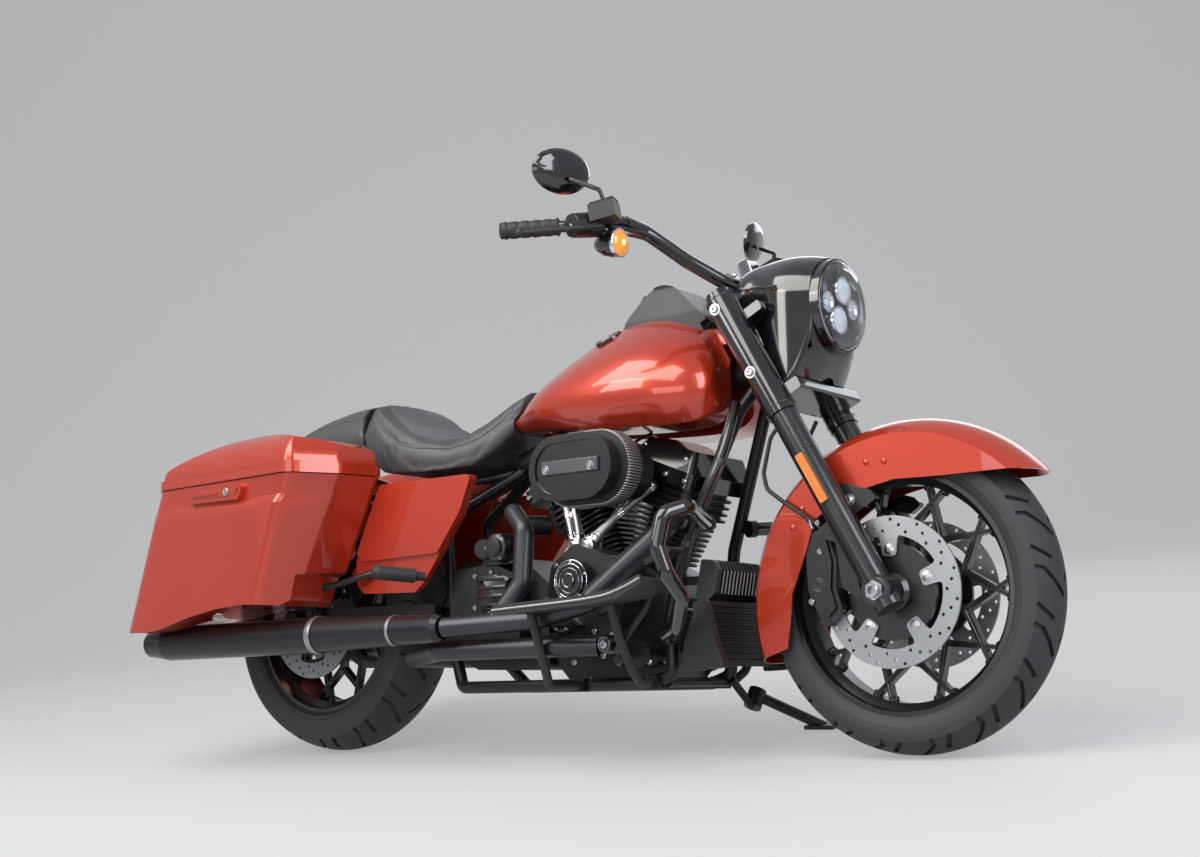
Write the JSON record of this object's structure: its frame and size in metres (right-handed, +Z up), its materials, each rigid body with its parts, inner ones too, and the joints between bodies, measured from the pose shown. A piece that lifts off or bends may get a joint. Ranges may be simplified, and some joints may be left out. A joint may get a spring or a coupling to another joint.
{
  "type": "touring cruiser motorcycle",
  "caption": "Touring cruiser motorcycle with hard side bags, headlamp nacelle and an air-cooled vee engine, parked leaning on its side stand.",
  "frame": {"origin": "middle of the bounding box at floor level", "axes": "+X forward, +Y to the rider's left, +Z up from the floor; the machine leans 9.5 degrees to +Y on its stand"},
  "size_m": [2.4498, 1.0036, 1.3215],
  "materials": {
    "amber": "amber lens",
    "black_gloss": "gloss black",
    "black_satin": "satin black",
    "bright": "machined",
    "chrome": "polished",
    "engine_black": "wrinkle black",
    "leather": "smooth grain",
    "lens": "clear",
    "paint": "gloss metallic orange red",
    "plastic": "matt black",
    "red": "red lens",
    "rubber": "matt",
    "steel": "ground",
    "tyre": "rubber tread"
  },
  "bodies": {
    "chassis": {"frame": "black_satin", "swingarm": "black_satin", "shocks": "plastic", "crankcase": "engine_black", "cylinders": "engine_black", "rocker_covers": "engine_black", "pushrod_tubes": "chrome", "primary_cover": "engine_black", "gearbox": "engine_black", "air_cleaner": "engine_black", "air_filter": "bright", "exhaust_headers": "black_satin", "mufflers": "black_satin", "fuel_tank": "paint", "console": "black_gloss", "seat": "leather", "side_covers": "paint", "rear_fender": "paint", "engine_guard": "black_gloss", "regulator": "engine_black", "oil_cooler": "plastic", "footboards": "rubber", "foot_pedals": "plastic", "tail_lamp": "red", "rear_signals": "red", "plate_bracket": "black_satin", "rear_caliper": "plastic", "drive_belt": "rubber", "saddlebag_left": "paint", "saddlebag_right": "paint"},
    "steering": {"fork_legs": "black_satin", "fork_covers": "black_satin", "nacelle": "black_gloss", "headlamp": "bright", "headlamp_lens": "lens", "handlebar": "black_gloss", "grips": "rubber", "hand_controls": "plastic", "mirrors": "black_gloss", "front_signals": "amber", "front_fender": "paint", "front_calipers": "plastic", "reflectors": "amber", "brake_lines": "rubber"},
    "front_wheel": {"front_tyre": "tyre", "front_wheel": "black_satin", "front_rotors": "steel"},
    "rear_wheel": {"rear_tyre": "tyre", "rear_wheel": "black_satin", "rear_rotor": "steel", "rear_pulley": "steel"},
    "side_stand": {"side_stand": "black_satin"},
    "lid_left": {"bag_lid_left": "paint"},
    "lid_right": {"bag_lid_right": "paint"}
  },
  "joints": [
    {"name": "steering_turn", "type": "hinge", "parent": "chassis", "child": "steering", "pos_m": [0.66631, -0.00831, 0.82998], "axis": [-0.4384, 0.1483, 0.8865], "range_deg": [-34, 34]},
    {"name": "front_wheel_spin", "type": "hinge", "parent": "steering", "child": "front_wheel", "pos_m": [0.906, -0.0943, 0.31612], "axis": [0, 0.9863, -0.165], "continuous": true},
    {"name": "rear_wheel_spin", "type": "hinge", "parent": "chassis", "child": "rear_wheel", "pos_m": [-0.719, -0.09289, 0.32451], "axis": [0, 0.9863, -0.165], "continuous": true},
    {"name": "side_stand_fold", "type": "hinge", "parent": "chassis", "child": "side_stand", "pos_m": [0.413, 0.05467, 0.09146], "axis": [0.0667, 0.6297, 0.774], "range_deg": [0, 124.8]},
    {"name": "lid_left_hinge", "type": "hinge", "parent": "chassis", "child": "lid_left", "pos_m": [-0.483, 0.39292, 0.57628], "axis": [-0.9973, -0.0726, 0.0121], "range_deg": [0, 70]},
    {"name": "lid_right_hinge", "type": "hinge", "parent": "chassis", "child": "lid_right", "pos_m": [-0.483, -0.47027, 0.72073], "axis": [0.9973, -0.0726, 0.0121], "range_deg": [0, 70]}
  ]
}
